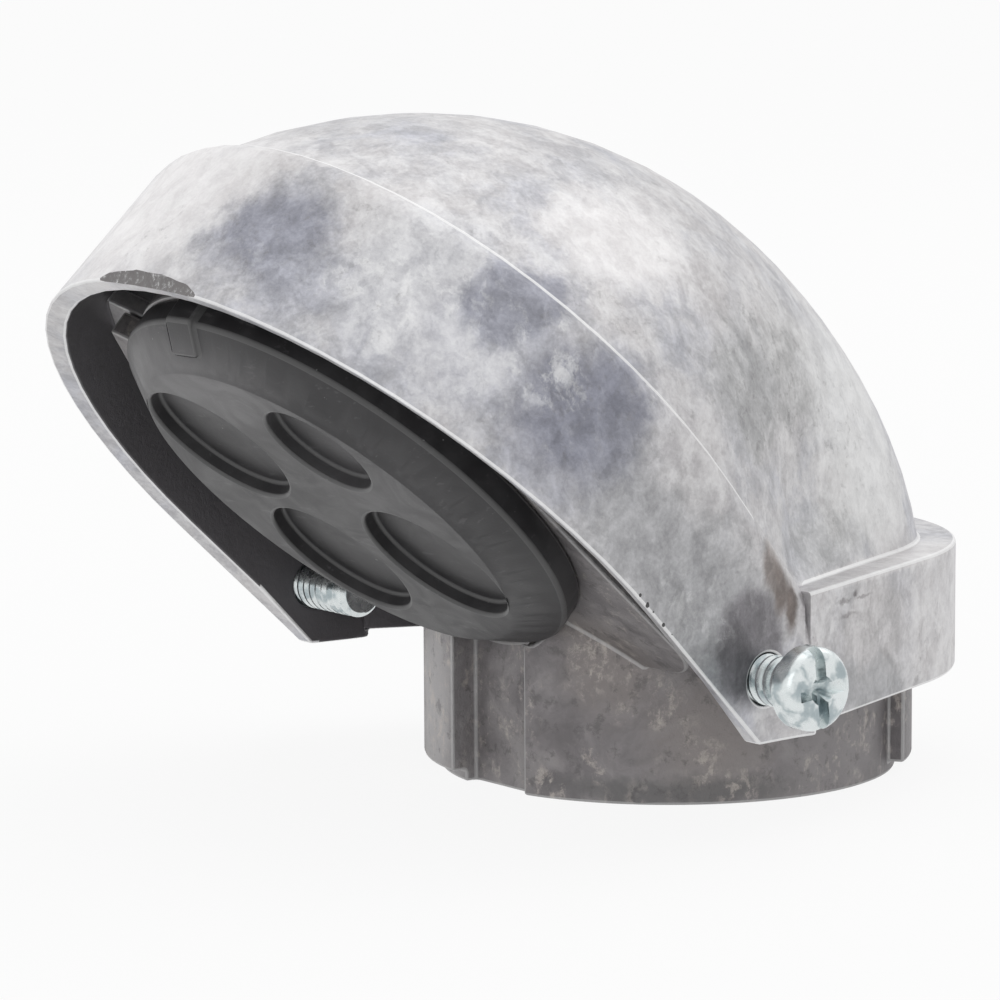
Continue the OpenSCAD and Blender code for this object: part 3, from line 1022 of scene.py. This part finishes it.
@dataclass
class HoodCasting:
    """The hood: rounded edges, a broken gate on the lip and pits along its near side."""

    edge: float = 0.30 * MM
    sharp: float = 38
    crisp: float = 35
    mouth_tilt: float = math.radians(46)
    foot: Vector = Vector((0.0, -19.7 * MM, 9.5 * MM))
    heart: Vector = Vector((0.0, -16.0 * MM, 30.0 * MM))
    lip: float = 0.75 * MM
    collar_side: float = 35.0 * MM
    corner_side: float = 32.5 * MM
    corner_foot: float = 12.0 * MM
    corner_span: Span = (-15.0 * MM, -10.5 * MM)
    ledge: float = 22.9 * MM
    ledge_reach: float = 1.5 * MM
    dome_foot: float = 24.2 * MM
    dome_low: float = 22.0 * MM
    dome_front: float = -13.5 * MM
    pit_grain: float = 0.5 * MM
    pit_roughness: float = 0.10 * MM
    pits: tuple[Pit, ...] = (
        Pit((39.60, -37.4, 27.5), (0.22, 0.50, 0.36)),
        Pit((39.55, -35.7, 25.5), (0.20, 0.20, 0.24)),
        Pit((39.55, -34.8, 24.5), (0.34, 0.24, 0.36)),
        Pit((39.50, -34.1, 23.8), (0.22, 0.18, 0.22)),
        Pit((39.40, -32.8, 22.4), (0.34, 0.28, 0.34)),
        Pit((39.30, -31.7, 21.4), (0.30, 0.30, 0.26)),
    )

    def is_hidden(self, middle: Vector) -> bool:
        """Whether an edge lies inside the dome's foot or in the collar's tight front corner.

        Args:
            middle: The edge's middle.

        Returns:
            True for an edge that stays sharp.
        """
        front, back = self.corner_span
        if abs(middle.x) > self.corner_side and front < middle.y < back:
            return middle.z > self.corner_foot
        is_back = middle.z > self.dome_low and middle.y > self.dome_front
        return is_back and middle.xy.length < self.dome_foot

    def is_inside(self, centre: Vector, normal: Vector, reach: float) -> bool:
        """Whether a face belongs to the hood's inner skin.

        Args:
            centre: The face's middle.
            normal: Its direction.
            reach: How far its farthest corner is from the hub's axis.

        Returns:
            True for a face inside the hood.
        """
        offset = centre - self.foot
        depth = offset.y * math.cos(self.mouth_tilt) + offset.z * math.sin(self.mouth_tilt)
        if depth < self.lip:
            return False
        is_step = abs(normal.y) > 0.9 and abs(centre.x) > self.collar_side
        is_ledge = normal.z > 0.9 and abs(centre.z - self.ledge) < self.ledge_reach
        if is_step or (is_ledge and reach > self.dome_foot):
            return False
        return normal.dot(centre - self.heart) < 0.0

    def pit_cutter(self) -> Piece:
        """Small uneven balls, one for each pit, as one cutter.

        Returns:
            The closed balls to cut with.
        """
        balls = []
        for pit in self.pits:
            bpy.ops.mesh.primitive_ico_sphere_add(
                subdivisions=3, radius=MM, location=[c * MM for c in pit.place]
            )
            ball = take_new("pit")
            ball.scale = pit.reach
            settle(ball)
            balls.append(ball)
        cutter = join(balls, "pits")
        roughen(cutter, self.pit_grain, self.pit_roughness)
        open_zones(cutter, Zone.PIT)
        return cutter

    def build(self) -> Piece:
        """Makes the hood.

        Returns:
            The finished hood.
        """
        hood = solid_copy("hood", "hood_casting")
        round_edges(hood, self.edge, 2, self.sharp, self.is_hidden)
        combine(hood, GateMark().cutter(self.mouth_tilt, self.foot), "DIFFERENCE")
        combine(hood, self.pit_cutter(), "DIFFERENCE")
        smooth(hood, self.crisp)
        # Faces of the inner skin, which the finish paints in shade
        reaches = [vertex.co.xy.length for vertex in hood.data.vertices]
        values = [
            float(self.is_inside(f.center, f.normal, max(reaches[i] for i in f.vertices)))
            for f in hood.data.polygons
        ]
        note(hood, "inside", values)
        mount(hood, Body.CAP, Slot.HOOD, BrightCasting().build(), "hood")
        return hood


@dataclass
class BaseCasting:
    """The base: rounded edges and the conduit thread tapped into its hub."""

    edge: float = 0.30 * MM
    sharp: float = 38
    crisp: float = 35
    pitch: float = 25.4 / 11.5 * MM
    crest_radius: float = 19.5 * MM
    thread_depth: float = 1.5 * MM
    overlap: float = 0.4 * MM
    flank: float = math.radians(30)
    turns: int = 6
    steps: int = 72

    def thread_cutter(self) -> Piece:
        """A coil of the thread's section, closed at both ends.

        Returns:
            The closed coil to cut with.
        """
        half = (self.thread_depth + self.overlap) * math.tan(self.flank)
        bpy.ops.mesh.primitive_circle_add(vertices=3, radius=MM, fill_type="NOTHING")
        cutter = take_new("thread")
        corners = (
            (self.crest_radius + self.thread_depth, 0.0),
            (self.crest_radius - self.overlap, half),
            (self.crest_radius - self.overlap, -half),
        )
        for vertex, (x, z) in zip(cutter.data.vertices, corners):
            vertex.co = (x, 0.0, z)
        cutter.location.z = -0.3 * self.pitch
        settle(cutter)
        coil(cutter, self.pitch, self.turns, self.steps, weld=False)

        def close() -> None:
            """Caps the coil's ends and turns it right side out."""
            bpy.ops.mesh.select_all(action="DESELECT")
            bpy.ops.mesh.select_non_manifold()
            bpy.ops.mesh.fill()
            turn_outward()

        in_edit(cutter, close)
        open_zones(cutter)
        return cutter

    def build(self) -> Piece:
        """Makes the base.

        Returns:
            The finished base.
        """
        base = solid_copy("base", "base_casting")
        round_edges(base, self.edge, 2, self.sharp)
        combine(base, self.thread_cutter(), "DIFFERENCE")
        smooth(base, self.crisp)
        mount(base, Body.CAP, Slot.BASE, DullCasting().build(), "base")
        return base


@dataclass
class Insulator:
    """The black insulator with rounded knockouts."""

    edge: float = 0.35 * MM
    sharp: float = 40
    crisp: float = 35

    def build(self) -> Piece:
        """Makes the insulator.

        Returns:
            The finished insulator.
        """
        disc = solid_copy("insulator", "insulator_disc")
        round_edges(disc, self.edge, 3, self.sharp)
        smooth(disc, self.crisp)
        mount(disc, Body.CAP, Slot.PLASTIC, BlackMoulding().build(), "insulator")
        return disc


@dataclass
class HoodScrew:
    """A No. 10-24 machine screw with a pan head and a combination recess.

    It is modelled upright with its head's underside at height 0, and laid along X at the end.
    """

    name: str
    node: str
    body: Body
    side: int
    turn: float
    shank_radius: float = 2.41 * MM
    root_radius: float = 1.90 * MM
    pitch: float = 25.4 / 24 * MM
    threads: int = 14
    steps: int = 40
    length: float = 11.1 * MM
    root: float = 0.3 * MM
    head_radius: float = 3.95 * MM
    head_height: float = 2.6 * MM
    rim: float = 1.25 * MM
    slot_width: float = 1.15 * MM
    slot_depth: float = 1.3 * MM
    wing_width: float = 1.35 * MM
    wing_reach: float = 2.9 * MM
    wing_depth: float = 1.9 * MM
    wing_taper: float = 0.45
    cone_radii: Span = (0.6 * MM, 1.55 * MM)
    clearance: float = 0.4 * MM
    crisp: float = 32

    def trim(self) -> None:
        """Cuts the shank to its length and closes both ends, in edit mode."""
        bpy.ops.mesh.remove_doubles(threshold=0.01 * MM)
        for height, below in ((-self.length, True), (self.root, False)):
            bpy.ops.mesh.select_all(action="SELECT")
            bpy.ops.mesh.bisect(
                plane_co=(0.0, 0.0, height),
                plane_no=(0.0, 0.0, 1.0),
                use_fill=True,
                clear_inner=below,
                clear_outer=not below,
            )
        turn_outward()

    def shank(self) -> Piece:
        """The threaded shank, from its tip to inside the head.

        Returns:
            The closed shank.
        """
        flat = 0.12 * self.pitch
        outline = (
            (self.root_radius, 0.0),
            (self.shank_radius, 0.5 * self.pitch - flat),
            (self.shank_radius, 0.5 * self.pitch + flat),
            (self.root_radius, self.pitch - flat),
            (self.root_radius, self.pitch),
        )
        bpy.ops.mesh.primitive_circle_add(vertices=len(outline), radius=MM, fill_type="NOTHING")
        shank = take_new("shank")

        def open_outline() -> None:
            """Takes the side away that would close the thread's outline."""
            bpy.ops.mesh.select_mode(type="EDGE")
            bpy.ops.mesh.delete(type="EDGE_FACE")

        self.pick(shank, lambda ends: False)
        for edge in shank.data.edges:
            edge.select = set(edge.vertices) == {0, len(outline) - 1}
        in_edit(shank, open_outline, everything=False)
        for vertex, (x, z) in zip(shank.data.vertices, outline):
            vertex.co = (x, 0.0, z)
        coil(shank, self.pitch, self.threads, self.steps, weld=True)
        shank.location.z = -(self.threads - 1) * self.pitch
        settle(shank)
        in_edit(shank, self.trim)
        open_zones(shank)
        return shank

    def pick(self, piece: Piece, wanted: Callable[[list[Vector]], bool]) -> None:
        """Selects some edges of a piece, and nothing else.

        Args:
            piece: The piece.
            wanted: Says by its two ends whether an edge is selected.
        """
        in_edit(piece, lambda: bpy.ops.mesh.select_all(action="DESELECT"))
        vertices = piece.data.vertices
        for edge in piece.data.edges:
            edge.select = wanted([vertices[i].co for i in edge.vertices])

    def head(self) -> Piece:
        """The pan head, with its top edge rolled over.

        Returns:
            The closed head.
        """
        bpy.ops.mesh.primitive_cylinder_add(
            vertices=64,
            radius=self.head_radius,
            depth=self.head_height,
            location=(0.0, 0.0, self.head_height / 2),
        )
        head = take_new("head")
        settle(head)
        top = self.head_height - 0.01 * MM
        self.pick(head, lambda ends: all(p.z > top and p.xy.length > MM for p in ends))

        def round_top() -> None:
            """Rolls the rim of the head over."""
            bpy.ops.mesh.select_mode(type="EDGE")
            bpy.ops.mesh.bevel(offset=self.rim, segments=7, affect="EDGES")

        in_edit(head, round_top, everything=False)
        open_zones(head)
        return head

    def tapered_bar(self, size: Point, top: float, taper: float) -> Piece:
        """A bar whose ends draw in towards its bottom.

        Args:
            size: Its length, width and depth.
            top: The height of its top.
            taper: Share of its length and width that its bottom keeps.

        Returns:
            The bar.
        """
        bpy.ops.mesh.primitive_cube_add(size=1.0, location=(0.0, 0.0, top - size[2] / 2))
        bar = take_new("bar")
        bar.scale = size
        settle(bar)

        def draw_in() -> None:
            """Makes the bottom smaller."""
            bpy.ops.mesh.select_mode(type="FACE")
            bpy.ops.transform.resize(value=(taper, taper, 1.0))

        in_edit(bar, lambda: bpy.ops.mesh.select_all(action="DESELECT"))
        for face in bar.data.polygons:
            face.select = face.normal.z < -0.5
        in_edit(bar, draw_in, everything=False)
        return bar

    def recess_cutter(self) -> Piece:
        """A full slot, two pairs of tapered wings and a cone in the middle.

        Returns:
            The closed bars and cone to cut with.
        """
        top = self.head_height + self.clearance
        reach = 2 * self.wing_reach
        depth = self.wing_depth + self.clearance
        slot_size = (2.4 * self.head_radius, self.slot_width, self.slot_depth + self.clearance)
        slot = self.tapered_bar(slot_size, top, 1.0)
        across = self.tapered_bar((self.wing_width, reach, depth), top, self.wing_taper)
        along = self.tapered_bar((reach, self.wing_width, depth), top, self.wing_taper)
        bpy.ops.mesh.primitive_cone_add(
            vertices=24,
            radius1=self.cone_radii[0],
            radius2=self.cone_radii[1],
            depth=depth,
            location=(0.0, 0.0, top - depth / 2),
        )
        cone = take_new("cone")
        settle(cone)
        cutter = join([slot, across, along, cone], "recess")
        open_zones(cutter)
        return cutter

    def build(self, finish: Paint) -> Piece:
        """Makes the screw and lays it in its place.

        Args:
            finish: The plate that both screws share.

        Returns:
            The finished screw.
        """
        low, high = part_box(self.node)
        piece = self.head()
        combine(piece, self.recess_cutter(), "DIFFERENCE", crossing=True)
        combine(piece, self.shank(), "UNION", crossing=True)
        piece.name = self.name
        piece.data.name = self.name
        piece.rotation_euler = (0.0, 0.0, math.radians(self.turn))
        settle(piece)
        piece.rotation_euler = (0.0, self.side * math.pi / 2, 0.0)
        head_face = high[0] if self.side > 0 else low[0]
        middle = ((low[1] + high[1]) / 2, (low[2] + high[2]) / 2)
        piece.location = (head_face - self.side * self.head_height, *middle)
        settle(piece)
        smooth(piece, self.crisp)
        mount(piece, self.body, Slot.ZINC, finish, self.node)
        return piece


# ---------------------------------------------------------------- studio


@dataclass(frozen=True)
class Lamp:
    """A soft square lamp: its place and side in metres, its power in watts, and its warmth."""

    name: str
    place: Point
    size: float
    power: float
    warmth: float = 0.0

    def hang(self, aim: Vector) -> None:
        """Adds the lamp.

        Args:
            aim: What it shines on.
        """
        bpy.ops.object.light_add(type="AREA", location=self.place)
        lamp = bpy.context.view_layer.objects.active
        lamp.name = self.name
        lamp.data.size = self.size
        lamp.data.energy = self.power
        lamp.data.color = (1.0, 1.0 - 0.4 * self.warmth, 1.0 - self.warmth)
        lamp.rotation_euler = (aim - Vector(self.place)).to_track_quat("-Z", "Y").to_euler()


@dataclass
class Studio:
    """A pale floor, soft lamps and the camera."""

    azimuth: float = math.radians(52.61)
    elevation: float = math.radians(7.86)
    roll: float = math.radians(-0.305)
    distance: float = 450.0 * MM
    focus: Point = (0.0, -20.0 * MM, 35.0 * MM)
    pan: Span = (-1.10 * MM, -6.32 * MM)
    lens: float = 164.0
    sensor: float = 36.0
    floor_size: float = 8.0
    floor_gap: float = 0.05 * MM
    floor_paint: Colour = grey(0.80)
    floor_glow: float = 0.90
    world_strength: float = 0.80
    aim: Vector = Vector((0.0, -15.0 * MM, 30.0 * MM))
    lamps: tuple[Lamp, ...] = (
        Lamp("overhead", (-0.10, 0.25, 0.75), 1.00, 1.40),
        Lamp("front", (0.35, -0.65, 0.35), 0.45, 0.35),
        Lamp("back", (0.02, 0.55, 0.42), 0.30, 0.055, 0.05),
        Lamp("left", (-0.60, 0.02, 0.34), 0.36, 0.10),
    )

    def camera(self) -> None:
        """Sets the camera up."""
        ca, sa = math.cos(self.azimuth), math.sin(self.azimuth)
        ce, se = math.cos(self.elevation), math.sin(self.elevation)
        back = Vector((sa * ce, -ca * ce, se))
        level = Vector((ca, sa, 0.0))
        above = back.cross(level)
        right = level * math.cos(self.roll) + above * math.sin(self.roll)
        up = above * math.cos(self.roll) - level * math.sin(self.roll)
        eye = Vector(self.focus) + back * self.distance + right * self.pan[0] + up * self.pan[1]
        turn = Matrix((right, up, back)).transposed().to_4x4()
        bpy.ops.object.camera_add()
        camera = bpy.context.view_layer.objects.active
        camera.name = "camera"
        camera.matrix_world = Matrix.Translation(eye) @ turn
        camera.data.lens = self.lens
        camera.data.sensor_width = self.sensor
        camera.data.clip_start = 0.01
        bpy.context.scene.camera = camera

    def world(self) -> None:
        """White towards the camera and in reflections, softer as light."""
        world = bpy.data.worlds.new("studio")
        bpy.context.scene.world = world
        s = Sketch(world)
        feeds = {"Color": grey(1.0), "Strength": self.world_strength}
        light = s.node("ShaderNodeBackground", feeds)
        white = s.node("ShaderNodeBackground", {"Color": grey(1.0)})
        feeds = {"Fac": s.seen(), 1: light.outputs[0], 2: white.outputs[0]}
        mix = s.node("ShaderNodeMixShader", feeds)
        s.node("ShaderNodeOutputWorld", {"Surface": mix.outputs[0]})

    def floor(self, height: float) -> None:
        """A pale floor that keeps a soft shadow.

        Args:
            height: Where it lies.
        """
        bpy.ops.mesh.primitive_plane_add(size=self.floor_size, location=(0.0, 0.0, height))
        floor = take_new("floor")
        settle(floor)
        s = sketch("floor_paint")
        paint = s.node("ShaderNodeBsdfDiffuse", {"Color": self.floor_paint})
        glow = s.node("ShaderNodeEmission", {"Color": grey(1.0)})
        share = s.math("MULTIPLY", s.seen(), self.floor_glow)
        feeds = {"Fac": share, 1: paint.outputs[0], 2: glow.outputs[0]}
        mix = s.node("ShaderNodeMixShader", feeds)
        s.node("ShaderNodeOutputMaterial", {"Surface": mix.outputs[0]})
        floor.data.materials.append(s.owner)

    def build(self) -> None:
        """Sets the whole studio up."""
        bpy.context.scene.view_settings.view_transform = "Standard"
        self.camera()
        self.world()
        self.floor(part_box("base")[0][2] - self.floor_gap)
        for lamp in self.lamps:
            lamp.hang(self.aim)


def main() -> None:
    """Builds every piece in order."""
    logging.basicConfig(level=logging.INFO, format="%(name)s: %(message)s")
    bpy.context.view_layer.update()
    Studio().build()
    BaseCasting().build()
    HoodCasting().build()
    Insulator().build()
    plate = ZincPlate().build()
    HoodScrew("screw_right_plated", "screw_right", Body.SCREW_RIGHT, 1, 6).build(plate)
    HoodScrew("screw_left_plated", "screw_left", Body.SCREW_LEFT, -1, 20).build(plate)


if __name__ == "__main__":
    main()
